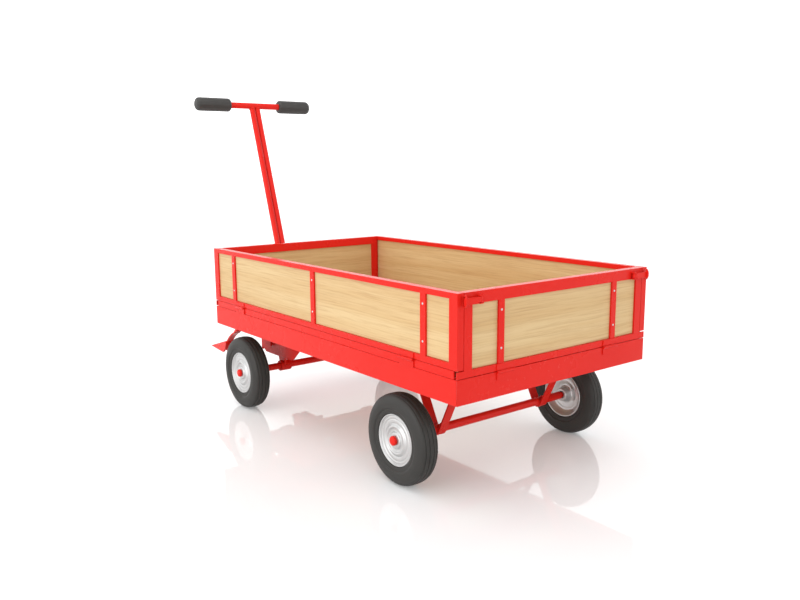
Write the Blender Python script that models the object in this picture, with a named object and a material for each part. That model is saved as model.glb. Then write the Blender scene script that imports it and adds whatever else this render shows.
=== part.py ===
"""Hand-pulled garden cart: a steel chassis on four rubber-tyred wheels, four drop-down board sides, a steered
front bogie with a twin-tube drawbar, and a foot brake over the front left tyre.

All sizes are metres. X runs across the cart, Y forward and Z up. Every builder below measures Y forward from
the rear face of the rear skirt and Z up from the ground; Y_SHIFT then centres the whole cart on the origin.
"""

import math

import bmesh
import bpy
from mathutils import Vector

# Chassis and box
HALF_WIDE = 0.350
LONG = 1.240
SKIRT_LOW = 0.268
SKIRT_TOP = 0.3293
SHEET = 0.003
FLANGE = 0.028
BOARD_TOP = 0.529
BOARD_DEEP = 0.020
GAP = 0.0004
CROSS_AT = (0.140, 0.342, 1.010, 1.164)
STRUT_X = 0.197
STRUT_WIDE = 0.028

# Wheels and axles
WHEEL_X = 0.320
TYRE_R = 0.120
TYRE_WIDE = 0.060
RIM_R = 0.0686
AXLE_Z = 0.120
REAR_AXLE_Y = 0.240
FRONT_AXLE_Y = 1.087
AXLE_R = 0.0115
STUB_R = 0.008

# Board hinges: the pin stands this far outside the board face
PIN_OUT = 0.004
PIN_R = 0.0018
KNUCKLE_R = 0.0036
END_PIN_Z = 0.3289
SIDE_PIN_Z = 0.3485
HINGE_LONG = 0.056
END_HINGE_X = 0.197
SIDE_HINGE_Y = (0.182, 1.058)

# Corner latches
LATCH_X = 0.285
LATCH_Y = -0.0065
LATCH_HEAD_R = 0.0078
LATCH_HEAD_Y = -0.0086

# Drawbar
PIVOT_Y = 1.290
PIVOT_Z = 0.158
LEAN = math.radians(17.9)
DRAWBAR_LONG = 0.9205
TUBE_R = 0.0100
TUBE_X = 0.01125
GRIP_R = 0.025
GRIP_FROM = 0.1045
GRIP_TO = 0.2425

# Foot brake
BRAKE_Y = 1.140
BRAKE_Z = 0.258

REAR_MOST = LATCH_HEAD_Y - LATCH_HEAD_R
FRONT_MOST = PIVOT_Y + DRAWBAR_LONG * math.sin(LEAN) + GRIP_R
Y_SHIFT = -(REAR_MOST + FRONT_MOST) / 2

PAINT = ("red_paint", (0.80, 0.045, 0.030), 0.35, 0.0)
WOOD = ("birch_ply", (0.78, 0.58, 0.34), 0.55, 0.0)
RUBBER = ("tyre_rubber", (0.055, 0.052, 0.048), 0.75, 0.0)
FOAM = ("grip_rubber", (0.06, 0.058, 0.055), 0.80, 0.0)
SILVER = ("wheel_silver", (0.72, 0.72, 0.72), 0.30, 1.0)
ZINC = ("zinc_steel", (0.62, 0.62, 0.63), 0.35, 1.0)


def finish_of(name, look):
    """Own material for one sub-part, from a (slot, colour, roughness, metallic) look."""
    slot, colour, rough, metal = look
    material = bpy.data.materials.new(slot + "_" + name)
    material.use_nodes = True
    shader = material.node_tree.nodes["Principled BSDF"]
    shader.inputs["Base Color"].default_value = (*colour, 1.0)
    shader.inputs["Roughness"].default_value = rough
    shader.inputs["Metallic"].default_value = metal
    return material


def face_outward(work):
    """Turns every face of a closed bmesh body outward."""
    bmesh.ops.recalc_face_normals(work, faces=work.faces)
    if work.calc_volume(signed=True) < 0:
        bmesh.ops.reverse_faces(work, faces=work.faces)


def mesh_of(name, verts, faces):
    """Closed mesh with its faces turned outward."""
    mesh = bpy.data.meshes.new(name)
    work = bmesh.new()
    points = [work.verts.new(v) for v in verts]
    for face in faces:
        work.faces.new([points[i] for i in face])
    face_outward(work)
    work.to_mesh(mesh)
    work.free()
    return mesh


def block_mesh(name, blocks):
    """One closed rectilinear body covering every (x0, x1, y0, y1, z0, z1) block that is handed in."""
    cuts = [sorted({round(b[2 * a + e], 7) for b in blocks for e in (0, 1)}) for a in range(3)]
    full = set()
    for block in blocks:
        spans = []
        for a in range(3):
            low = cuts[a].index(round(block[2 * a], 7))
            high = cuts[a].index(round(block[2 * a + 1], 7))
            spans.append(range(low, high))
        for i in spans[0]:
            for j in spans[1]:
                for k in spans[2]:
                    full.add((i, j, k))
    verts = {}
    faces = []
    for cell in sorted(full):
        for axis in range(3):
            for side in (0, 1):
                other = list(cell)
                other[axis] += 2 * side - 1
                if tuple(other) in full:
                    continue
                u, v = [a for a in range(3) if a != axis]
                ring = []
                for du, dv in ((0, 0), (1, 0), (1, 1), (0, 1)):
                    corner = list(cell)
                    corner[axis] += side
                    corner[u] += du
                    corner[v] += dv
                    ring.append(verts.setdefault(tuple(corner), len(verts)))
                faces.append(ring)
    points = [tuple(cuts[a][c[a]] for a in range(3)) for c in verts]
    mesh = mesh_of(name, points, faces)
    work = bmesh.new()
    work.from_mesh(mesh)
    bmesh.ops.dissolve_limit(
        work, angle_limit=math.radians(1), verts=work.verts, edges=work.edges, use_dissolve_boundaries=False
    )
    work.to_mesh(mesh)
    work.free()
    return mesh


def prism_mesh(name, outline, plane, low, high):
    """Outline in plane 'XY', 'XZ' or 'YZ' drawn out between low and high, which may be functions of the point."""
    third = {"XY": 2, "XZ": 1, "YZ": 0}[plane]
    verts = []
    for limit in (low, high):
        for point in outline:
            where = list(point)
            where.insert(third, limit(point) if callable(limit) else limit)
            verts.append(tuple(where))
    count = len(outline)
    faces = [list(range(count)), list(range(2 * count - 1, count - 1, -1))]
    for i in range(count):
        j = (i + 1) % count
        faces.append([i, j, count + j, count + i])
    return mesh_of(name, verts, faces)


def turned_mesh(name, profile, centre, axis, steps):
    """Closed (radius, along) profile turned about an axis through centre; radius 0 points close on the axis."""
    along = Vector(axis).normalized()
    side = Vector((0, 0, 1)) if abs(along.z) < 0.9 else Vector((0, 1, 0))
    first = side.cross(along).normalized()
    second = along.cross(first)
    verts = []
    rows = []
    for radius, height in profile:
        base = Vector(centre) + along * height
        if radius == 0:
            rows.append([len(verts)] * steps)
            verts.append(tuple(base))
            continue
        rows.append(list(range(len(verts), len(verts) + steps)))
        for k in range(steps):
            turn = 2 * math.pi * k / steps
            verts.append(tuple(base + radius * (math.cos(turn) * first + math.sin(turn) * second)))
    faces = []
    for a in range(len(rows)):
        b = (a + 1) % len(rows)
        for k in range(steps):
            n = (k + 1) % steps
            ring = []
            for index in (rows[a][k], rows[a][n], rows[b][n], rows[b][k]):
                if index not in ring:
                    ring.append(index)
            if len(ring) > 2:
                faces.append(ring)
    return mesh_of(name, verts, faces)


def bar_mesh(name, start, end, radius, steps):
    """Solid round bar between two points."""
    run = Vector(end) - Vector(start)
    return turned_mesh(name, [(0, 0), (radius, 0), (radius, run.length), (0, run.length)], start, run, steps)


def joined(name, meshes, cut=()):
    """Union of closed meshes, less every mesh in cut, as one closed mesh."""
    scene = bpy.context.scene.collection
    base = bpy.data.objects.new(name + "_base", meshes[0])
    scene.objects.link(base)
    spare = [base]
    for mesh, how in [(m, "UNION") for m in meshes[1:]] + [(m, "DIFFERENCE") for m in cut]:
        tool = bpy.data.objects.new(name + "_tool", mesh)
        scene.objects.link(tool)
        tool.hide_render = True
        tool.display_type = "WIRE"
        modifier = base.modifiers.new(how.lower(), "BOOLEAN")
        modifier.operation = how
        modifier.solver = "EXACT"
        modifier.object = tool
        spare.append(tool)
    bpy.context.view_layer.update()
    result = bpy.data.meshes.new_from_object(base.evaluated_get(bpy.context.evaluated_depsgraph_get()))
    result.name = name
    for thing in spare:
        bpy.data.objects.remove(thing)
    return result


def pivot_at(name, point):
    """Empty that marks a joint axis; point is in cart measures."""
    empty = bpy.data.objects.new(name, None)
    empty.location = (point[0], point[1] + Y_SHIFT, point[2])
    empty.empty_display_size = 0.03
    bpy.context.scene.collection.objects.link(empty)
    return empty


def place(name, mesh, look, pivot=None, smooth=False, mirror_x=False, mirror_y=False):
    """Puts a mesh into the scene as one named sub-part, mirrored about the cart's middle where asked."""
    work = bmesh.new()
    work.from_mesh(mesh)
    for vert in work.verts:
        if mirror_x:
            vert.co.x = -vert.co.x
        if mirror_y:
            vert.co.y = LONG - vert.co.y
        vert.co.y += Y_SHIFT
    if pivot:
        bmesh.ops.translate(work, verts=work.verts, vec=-pivot.location)
    face_outward(work)
    fresh = bpy.data.meshes.new(name)
    work.to_mesh(fresh)
    work.free()
    fresh.materials.clear()
    fresh.materials.append(finish_of(name, look))
    if smooth:
        fresh.shade_smooth()
        fresh.set_sharp_from_angle(angle=math.radians(35))
    thing = bpy.data.objects.new(name, fresh)
    bpy.context.scene.collection.objects.link(thing)
    if pivot:
        thing.parent = pivot
    return thing


def side_word(mirror_x):
    """Which side of the cart a piece is on, seen from behind."""
    return "left" if mirror_x else "right"


def end_word(mirror_y):
    """Which end of the cart a piece is on."""
    return "front" if mirror_y else "rear"


def channel(inner):
    """Channel section, web outward: points (depth in from the outer face, height above the ground)."""
    return [
        (0, SKIRT_LOW), (inner, SKIRT_LOW), (inner, SKIRT_LOW + SHEET), (SHEET, SKIRT_LOW + SHEET),
        (SHEET, SKIRT_TOP - SHEET), (inner, SKIRT_TOP - SHEET), (inner, SKIRT_TOP), (0, SKIRT_TOP),
    ]


def build_skirts():
    """Four mitred channel rails round the chassis."""
    mitre = 0.0005
    for mirror in (False, True):
        outline = [(HALF_WIDE - d, z) for d, z in channel(FLANGE)]
        mesh = prism_mesh(
            "skirt_side", outline, "XZ",
            lambda p: HALF_WIDE - p[0] + mitre,
            lambda p: LONG - (HALF_WIDE - p[0]) - mitre,
        )
        place("skirt_" + side_word(mirror), mesh, PAINT, mirror_x=mirror)
        mesh = prism_mesh(
            "skirt_end", channel(FLANGE), "YZ",
            lambda p: -(HALF_WIDE - p[0]),
            lambda p: HALF_WIDE - p[0],
        )
        place("skirt_" + end_word(mirror), mesh, PAINT, mirror_y=mirror)


def build_deck():
    """Hinge strips, cross members and the plywood deck."""
    low = SKIRT_TOP + GAP
    for mirror in (False, True):
        mesh = block_mesh("strip", [
            (0.345, 0.349, 0.012, LONG - 0.012, low, 0.3494),
            (0.3305, 0.345, 0.012, LONG - 0.012, low, low + 0.003),
        ])
        place("hinge_strip_" + side_word(mirror), mesh, PAINT, mirror_x=mirror)
    reach = HALF_WIDE - SHEET - GAP
    top = SKIRT_TOP - SHEET - GAP
    for number, middle in enumerate(CROSS_AT):
        mesh = block_mesh("cross", [
            (-reach, reach, middle - 0.02, middle + 0.02, top - 0.003, top),
            (-reach, reach, middle - 0.02, middle - 0.017, 0.290, top),
            (-reach, reach, middle + 0.017, middle + 0.02, 0.290, top),
        ])
        place("cross_member_%d" % (number + 1), mesh, PAINT)
    mesh = block_mesh("deck", [(-0.328, 0.328, 0.022, LONG - 0.022, low, low + 0.012)])
    place("deck_board", mesh, WOOD)


def fixed_knuckles(start, axis, centre):
    """Pin with the fixed knuckles on it, as one turned piece along axis."""
    step = HINGE_LONG / 5
    profile = [(0, 0), (KNUCKLE_R, 0), (KNUCKLE_R, step), (PIN_R, step), (PIN_R, 2 * step)]
    profile += [(KNUCKLE_R, 2 * step), (KNUCKLE_R, 3 * step), (PIN_R, 3 * step), (PIN_R, 4 * step)]
    profile += [(KNUCKLE_R, 4 * step), (KNUCKLE_R, 5 * step), (0, 5 * step)]
    return turned_mesh("knuckles", profile, centre, axis, 12)


def moving_knuckle(centre, axis, long):
    """Short tube that turns on a hinge pin."""
    inner = PIN_R + 0.0004
    profile = [(inner, 0), (KNUCKLE_R, 0), (KNUCKLE_R, long), (inner, long)]
    return turned_mesh("knuckle", profile, centre, axis, 12)


def hinge_span(middle):
    """Fixed and moving knuckle spans of a hinge centred on middle."""
    step = HINGE_LONG / 5
    start = middle - HINGE_LONG / 2
    fixed = [(start + k * step, start + (k + 1) * step) for k in (0, 2, 4)]
    moving = [(start + k * step + 0.00035, start + (k + 1) * step - 0.00035) for k in (1, 3)]
    return start, fixed, moving


def build_fixed_hinges():
    """The leaves screwed to the chassis, each with its knuckles and pin."""
    for mirror_end in (False, True):
        for mirror_side in (False, True):
            start, fixed, moving = hinge_span(END_HINGE_X)
            blocks = [(start, start + HINGE_LONG, -0.0026, -0.0003, 0.3095, 0.3249)]
            blocks += [(a, b, -0.0026, -0.0003, 0.3249, 0.3275) for a, b in fixed]
            leaf = block_mesh("leaf", blocks)
            pin = fixed_knuckles(start, (1, 0, 0), (start, -PIN_OUT, END_PIN_Z))
            name = "hinge_%s_board_%s" % (end_word(mirror_end), side_word(mirror_side))
            place(name, joined(name, [pin, leaf]), PAINT, mirror_x=mirror_side, mirror_y=mirror_end)
    for mirror_side in (False, True):
        for word, middle in zip(("rear", "front"), SIDE_HINGE_Y):
            start, fixed, moving = hinge_span(middle)
            blocks = [(0.3493, 0.3520, start, start + HINGE_LONG, 0.3297, 0.3445)]
            blocks += [(0.3493, 0.3520, a, b, 0.3445, 0.3471) for a, b in fixed]
            leaf = block_mesh("leaf", blocks)
            pin = fixed_knuckles(start, (0, 1, 0), (HALF_WIDE + PIN_OUT, start, SIDE_PIN_Z))
            name = "hinge_%s_board_%s" % (side_word(mirror_side), word)
            place(name, joined(name, [pin, leaf]), PAINT, mirror_x=mirror_side)


def build_side_boards():
    """Side boards: tube frame, straps and moving hinge leaves in one welded piece, with a plywood panel."""
    low, top = 0.3508, BOARD_TOP
    inner, outer = HALF_WIDE - BOARD_DEEP, HALF_WIDE
    strap_in = outer - 0.005
    for mirror in (False, True):
        blocks = [
            (inner, outer, 0, LONG, low, low + 0.015),
            (inner, outer, 0, LONG, top - 0.014, top),
            (inner, outer, 0, 0.015, low, top),
            (inner, outer, LONG - 0.015, LONG, low, top),
            (strap_in, outer, 0.015, 0.028, low, top),
            (strap_in, outer, LONG - 0.028, LONG - 0.015, low, top),
        ]
        blocks += [(strap_in, outer, y - 0.010, y + 0.010, low, top) for y in (0.121, 0.610, 1.098)]
        tubes = []
        for middle in SIDE_HINGE_Y:
            start, fixed, moving = hinge_span(middle)
            blocks.append((outer, outer + 0.0024, start, start + HINGE_LONG, 0.3525, 0.3650))
            for a, b in moving:
                blocks.append((outer, outer + 0.0024, a, b, 0.3510, 0.3525))
                tubes.append(moving_knuckle((outer + PIN_OUT, a, SIDE_PIN_Z), (0, 1, 0), b - a))
        word = side_word(mirror)
        pivot = pivot_at("axis_%s_board" % word, ((-1 if mirror else 1) * (outer + PIN_OUT), LONG / 2, SIDE_PIN_Z))
        frame = joined("board_frame_" + word, [block_mesh("frame", blocks)] + tubes)
        place("board_frame_" + word, frame, PAINT, pivot, mirror_x=mirror)
        panel = block_mesh("panel", [
            (0.3353, strap_in - GAP, 0.015 + GAP, LONG - 0.015 - GAP, low + 0.015 + GAP, top - 0.014 - GAP),
        ])
        place("board_panel_" + word, panel, WOOD, pivot, mirror_x=mirror)


def build_end_boards():
    """End boards: channel frame with straps, corner plates, latch lugs and hinge leaves, with a plywood panel."""
    low, top = SKIRT_TOP + 0.0018, BOARD_TOP
    half = 0.3285
    for mirror in (False, True):
        blocks = [
            (-half, half, 0, BOARD_DEEP, low, 0.348),
            (-half, half, 0, BOARD_DEEP, 0.514, top),
            (-half, half, 0, 0.005, 0.501, top),
            (-half, half, 0.015, BOARD_DEEP, 0.501, top),
            (-HALF_WIDE, HALF_WIDE, 0, 0.003, low, 0.348),
        ]
        tubes = []
        pins = []
        for sign in (-1, 1):
            for a, b, near, far in ((0.3135, half, 0, BOARD_DEEP), (0.3035, half, 0, 0.005),
                                    (0.3035, half, 0.015, BOARD_DEEP), (0.2005, 0.2195, 0, 0.005)):
                blocks.append((min(sign * a, sign * b), max(sign * a, sign * b), near, far, 0.348, 0.514))
            for a, b in ((0.501, 0.5036), (0.5184, 0.521)):
                edges = sorted((sign * (LATCH_X - 0.006), sign * (LATCH_X + 0.006)))
                blocks.append((edges[0], edges[1], -0.0115, 0, a, b))
            pins.append(bar_mesh("pin", (sign * LATCH_X, LATCH_Y, 0.502), (sign * LATCH_X, LATCH_Y, 0.520),
                                 0.002, 12))
            start, fixed, moving = hinge_span(sign * END_HINGE_X)
            blocks.append((start, start + HINGE_LONG, -0.0024, 0, 0.3329, 0.348))
            for a, b in moving:
                blocks.append((a, b, -0.0024, 0, 0.3314, 0.3329))
                tubes.append(moving_knuckle((a, -PIN_OUT, END_PIN_Z), (1, 0, 0), b - a))
        word = end_word(mirror)
        pin_y = LONG + PIN_OUT if mirror else -PIN_OUT
        pivot = pivot_at("axis_%s_board" % word, (0, pin_y, END_PIN_Z))
        frame = joined("board_frame_" + word, [block_mesh("frame", blocks)] + tubes + pins)
        place("board_frame_" + word, frame, PAINT, pivot, mirror_y=mirror)
        panel = block_mesh("panel", [
            (-0.3135 + GAP, 0.3135 - GAP, 0.005 + GAP, 0.015 - GAP, 0.348 + GAP, 0.514 - GAP),
        ])
        place("board_panel_" + word, panel, WOOD, pivot, mirror_y=mirror)


def ellipse(centre, half_y, half_z, steps):
    """Points round an upright ellipse in the YZ plane."""
    turns = [2 * math.pi * k / steps for k in range(steps)]
    return [(centre[0] + half_y * math.cos(t), centre[1] + half_z * math.sin(t)) for t in turns]


def build_latches():
    """Corner latches: a flat lever on a vertical pin with a thin oval loop at its free end, half closed."""
    centre = (LATCH_HEAD_Y, 0.511)
    for mirror_end in (False, True):
        for mirror_side in (False, True):
            knuckle = turned_mesh("knuckle", [(0.0024, 0), (0.0048, 0), (0.0048, 0.0136), (0.0024, 0.0136)],
                                  (LATCH_X, LATCH_Y, 0.5042), (0, 0, 1), 16)
            lever = block_mesh("lever", [
                (LATCH_X + 0.0030, LATCH_X + 0.0088, -0.0113, -0.0085, 0.5050, 0.5170),
                (LATCH_X + 0.0088, 0.3385, -0.0113, -0.0085, 0.5020, 0.5180),
            ])
            head = prism_mesh("head", ellipse(centre, LATCH_HEAD_R, 0.0150, 20), "YZ", 0.3330, 0.3375)
            bore = prism_mesh("bore", ellipse(centre, LATCH_HEAD_R - 0.0016, 0.0132, 20), "YZ", 0.3320, 0.3400)
            name = "latch_%s_%s" % (end_word(mirror_end), side_word(mirror_side))
            pin_y = LONG - LATCH_Y if mirror_end else LATCH_Y
            pivot = pivot_at("axis_" + name, ((-1 if mirror_side else 1) * LATCH_X, pin_y, 0.511))
            keep = block_mesh("keep", [(0.3310, 0.3410, -0.0200, -0.0113, 0.4900, 0.5300)])
            loop = joined("loop", [head], [joined("bore", [bore], [keep])])
            mesh = joined(name, [lever, knuckle, loop])
            place(name, mesh, PAINT, pivot, mirror_x=mirror_side, mirror_y=mirror_end)


def axle_mesh(name, middle):
    """Round axle bar with a thinner stub turned on each end."""
    bar = bar_mesh("bar", (-0.285, middle, AXLE_Z), (0.285, middle, AXLE_Z), AXLE_R, 24)
    stub = bar_mesh("stub", (-0.344, middle, AXLE_Z), (0.344, middle, AXLE_Z), STUB_R, 20)
    return joined(name, [bar, stub])


def strut_outline(middle, rear_slope, front_slope, top):
    """Outline in YZ of one bent flat bar: a leg at each slope up to height top, wrapped under the axle."""
    inner, outer = AXLE_R + GAP, AXLE_R + GAP + 0.0045
    rear, front = math.atan(rear_slope), math.atan(front_slope)

    def leg_end(radius, tilt, side):
        foot_y = middle + side * radius * math.cos(tilt)
        foot_z = AXLE_Z - radius * abs(math.sin(tilt))
        return (foot_y + math.tan(tilt) * (top - foot_z), top)

    def wrap(radius):
        start, end = math.pi + abs(rear), math.tau - abs(front)
        turns = [start + (end - start) * k / 12 for k in range(13)]
        return [(middle + radius * math.cos(t), AXLE_Z + radius * math.sin(t)) for t in turns]

    down = [leg_end(outer, rear, -1)] + wrap(outer) + [leg_end(outer, front, 1)]
    back = [leg_end(inner, front, 1)] + list(reversed(wrap(inner))) + [leg_end(inner, rear, -1)]
    return down + back


def build_axles():
    """Both axles with their struts; the rear ones ride on the chassis, the front ones on the bogie."""
    place("rear_axle", axle_mesh("rear_axle", REAR_AXLE_Y), PAINT, smooth=True)
    outline = strut_outline(REAR_AXLE_Y, -0.482, 0.513, 0.2896)
    for mirror in (False, True):
        mesh = prism_mesh("strut", outline, "YZ", STRUT_X - STRUT_WIDE / 2, STRUT_X + STRUT_WIDE / 2)
        place("rear_strut_" + side_word(mirror), mesh, PAINT, mirror_x=mirror)


def build_bogie():
    """Steered front bogie: folded tray with its turntable ring, axle, struts, clevis, pin and brake bracket."""
    pivot = pivot_at("axis_steer", (0, FRONT_AXLE_Y, 0.208))
    steel = 0.004
    tray = block_mesh("tray", [
        (-0.200, 0.200, 0.942, 1.204, 0.204, 0.208),
        (-0.200, 0.200, 1.200, 1.204, 0.160, 0.208),
    ])
    cheek = [(0.9425, 0.2065), (0.9425, 0.199), (0.984, 0.162), (1.002, 0.156), (1.172, 0.156), (1.2035, 0.176),
             (1.2035, 0.2065)]
    cheeks = [prism_mesh("cheek", cheek, "YZ", s * 0.200 - (steel if s > 0 else 0),
                         s * 0.200 + (0 if s > 0 else steel)) for s in (-1, 1)]
    ring = turned_mesh("ring", [(0, 0.207), (0.100, 0.207), (0.100, 0.226), (0, 0.226)],
                       (0, FRONT_AXLE_Y, 0), (0, 0, 1), 28)
    bore = bar_mesh("bore", (0, FRONT_AXLE_Y, 0.190), (0, FRONT_AXLE_Y, 0.240), 0.0105, 20)
    mesh = joined("bogie_tray", [tray, ring] + cheeks, [bore])
    place("bogie_tray", mesh, PAINT, pivot)
    place("front_axle", axle_mesh("front_axle", FRONT_AXLE_Y), PAINT, pivot, smooth=True)
    hanger = [(FRONT_AXLE_Y - 0.040, 0.2036), (FRONT_AXLE_Y - 0.0165, 0.122), (FRONT_AXLE_Y + 0.0165, 0.122),
              (FRONT_AXLE_Y + 0.040, 0.2036)]
    sleeve = [(AXLE_R + GAP, 0), (0.0180, 0), (0.0180, 0.0395), (AXLE_R + GAP, 0.0395)]
    for mirror in (False, True):
        plate = prism_mesh("plate", hanger, "YZ", 0.1800, 0.1850)
        hole = bar_mesh("hole", (0.170, FRONT_AXLE_Y, AXLE_Z), (0.190, FRONT_AXLE_Y, AXLE_Z), 0.0150, 24)
        collar = turned_mesh("collar", sleeve, (0.1560, FRONT_AXLE_Y, AXLE_Z), (1, 0, 0), 24)
        mesh = joined("strut", [joined("plate", [plate], [hole]), collar])
        place("front_strut_" + side_word(mirror), mesh, PAINT, pivot, mirror_x=mirror)

    clevis = block_mesh("clevis", [(-0.050, 0.050, 1.2044, 1.2094, 0.140, 0.196)])
    arm = [(1.209, 0.176), (1.209, 0.140)]
    arm += [(PIVOT_Y + 0.017 * math.cos(t), PIVOT_Z + 0.017 * math.sin(t))
            for t in [math.radians(-90 + 20 * k) for k in range(10)]]
    arms = [prism_mesh("arm", arm, "YZ", min(s * 0.0225, s * 0.0275), max(s * 0.0225, s * 0.0275)) for s in (-1, 1)]
    hole = bar_mesh("hole", (-0.05, PIVOT_Y, PIVOT_Z), (0.05, PIVOT_Y, PIVOT_Z), 0.0064, 16)
    place("drawbar_clevis", joined("drawbar_clevis", [clevis] + arms, [hole]), PAINT, pivot)
    head = [(0, -0.0325), (0.010, -0.0325), (0.010, -0.0279), (0.006, -0.0279), (0.006, 0.0279), (0.010, 0.0279),
            (0.010, 0.0325), (0, 0.0325)]
    place("drawbar_pin", turned_mesh("pin", head, (0, PIVOT_Y, PIVOT_Z), (1, 0, 0), 20), ZINC, pivot, smooth=True)

    bracket = block_mesh("bracket", [(-0.2094, -0.2044, 1.122, 1.158, 0.185, 0.265)])
    shaft = bar_mesh("shaft", (-0.206, BRAKE_Y, BRAKE_Z), (-0.330, BRAKE_Y, BRAKE_Z), 0.005, 16)
    place("brake_bracket", joined("brake_bracket", [bracket, shaft]), PAINT, pivot)


def build_turntable():
    """Fixed half of the turntable under the chassis, with the kingpin through both halves."""
    profile = [(0.0105, 0.2266), (0.098, 0.2266), (0.098, 0.236), (0.060, 0.240), (0.060, 0.276), (0.105, 0.280),
               (0.105, 0.2896), (0.0105, 0.2896)]
    mesh = turned_mesh("upper", profile, (0, FRONT_AXLE_Y, 0), (0, 0, 1), 28)
    place("turntable_upper", mesh, PAINT, smooth=True)
    profile = [(0, 0.190), (0.018, 0.190), (0.018, 0.2036), (0.010, 0.2036), (0.010, 0.2904), (0.018, 0.2904),
               (0.018, 0.302), (0, 0.302)]
    place("kingpin", turned_mesh("kingpin", profile, (0, FRONT_AXLE_Y, 0), (0, 0, 1), 20), ZINC, smooth=True)


def build_drawbar():
    """Twin-tube drawbar with its crossbar, and two round grips."""
    pivot = pivot_at("axis_drawbar", (0, PIVOT_Y, PIVOT_Z))
    run = Vector((0, math.sin(LEAN), math.cos(LEAN)))
    foot = Vector((0, PIVOT_Y, PIVOT_Z))
    top = foot + run * DRAWBAR_LONG
    tubes = []
    bores = [bar_mesh("bore", (-0.245, top.y, top.z), (0.245, top.y, top.z), 0.0090, 20)]
    for sign in (-1, 1):
        aside = Vector((sign * TUBE_X, 0, 0))
        tubes.append(bar_mesh("tube", foot + aside - run * 0.015, top + aside, TUBE_R, 24))
        bores.append(bar_mesh("bore", foot + aside - run * 0.020, top + aside - run * 0.016, 0.0080, 16))
    reach = GRIP_TO - 0.012
    cross = bar_mesh("cross", (-reach, top.y, top.z), (reach, top.y, top.z), 0.0115, 24)
    boss = bar_mesh("boss", (-0.0180, PIVOT_Y, PIVOT_Z), (0.0180, PIVOT_Y, PIVOT_Z), 0.0090, 24)
    hole = bar_mesh("hole", (-0.05, PIVOT_Y, PIVOT_Z), (0.05, PIVOT_Y, PIVOT_Z), 0.0064, 16)
    mesh = joined("drawbar", [cross] + tubes + [boss], bores + [hole])
    place("drawbar", mesh, PAINT, pivot, smooth=True)
    long = GRIP_TO - GRIP_FROM
    bore = 0.0118
    blind = long - 0.0116
    profile = [(bore, 0), (GRIP_R - 0.006, 0), (GRIP_R - 0.0015, 0.003), (GRIP_R, 0.009), (GRIP_R, long - 0.012),
               (GRIP_R - 0.004, long - 0.004), (GRIP_R - 0.010, long), (0, long), (0, blind),
               (bore, blind)]
    for mirror in (False, True):
        mesh = turned_mesh("grip", profile, (GRIP_FROM, top.y, top.z), (1, 0, 0), 24)
        place("grip_" + side_word(mirror), mesh, FOAM, pivot, smooth=True, mirror_x=mirror)


def build_brake():
    """Foot brake: hub on the bracket shaft, slim curved arm over the tyre and a hollow wedge pedal."""
    pivot = pivot_at("axis_brake", (-WHEEL_X, BRAKE_Y, BRAKE_Z))
    left, right = -0.327, -0.305
    hub = turned_mesh("hub", [(0.0054, 0), (0.0085, 0), (0.0085, 0.024), (0.0054, 0.024)],
                      (left, BRAKE_Y, BRAKE_Z), (1, 0, 0), 20)
    near, far = [], []
    for k in range(11):
        turn = math.radians(60 - 2.7 * k)
        radius = 0.1405 + 0.0012 * k
        near.append((FRONT_AXLE_Y + radius * math.cos(turn), AXLE_Z + radius * math.sin(turn)))
        far.append((FRONT_AXLE_Y + (radius + 0.005) * math.cos(turn), AXLE_Z + (radius + 0.005) * math.sin(turn)))
    arm = prism_mesh("arm", near + [(1.2250, 0.1920), (1.2280, 0.2010)] + far[::-1], "YZ", left, right)
    neck = prism_mesh("neck", [
        (BRAKE_Y + 0.0055, BRAKE_Z - 0.0060), (BRAKE_Y + 0.0180, BRAKE_Z - 0.0160),
        (BRAKE_Y + 0.0230, BRAKE_Z - 0.0120), (BRAKE_Y + 0.0075, BRAKE_Z + 0.0030),
    ], "YZ", left, right)
    wedge = [(1.2150, 0.1960), (1.2210, 0.2040), (1.3440, 0.1670), (1.3470, 0.1640), (1.2450, 0.1600), (1.2250, 0.1750)]
    trim = [prism_mesh("trim", [(-0.360, 1.200), (-0.3340, 1.200), (-0.3260, 1.350), (-0.360, 1.350)],
                       "XY", 0.140, 0.220),
            prism_mesh("trim", [(-0.270, 1.200), (-0.270, 1.350), (-0.3140, 1.350), (-0.2960, 1.200)],
                       "XY", 0.140, 0.220)]
    hollow = prism_mesh("hollow", [(1.2330, 0.1500), (1.2330, 0.1950), (1.2950, 0.1760), (1.2950, 0.1500)],
                        "YZ", -0.3255, -0.3110)
    pedal = joined("pedal", [prism_mesh("wedge", wedge, "YZ", -0.340, -0.290)], trim + [hollow])
    place("brake_lever", joined("brake_lever", [arm, neck, hub, pedal]), PAINT, pivot)


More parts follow.
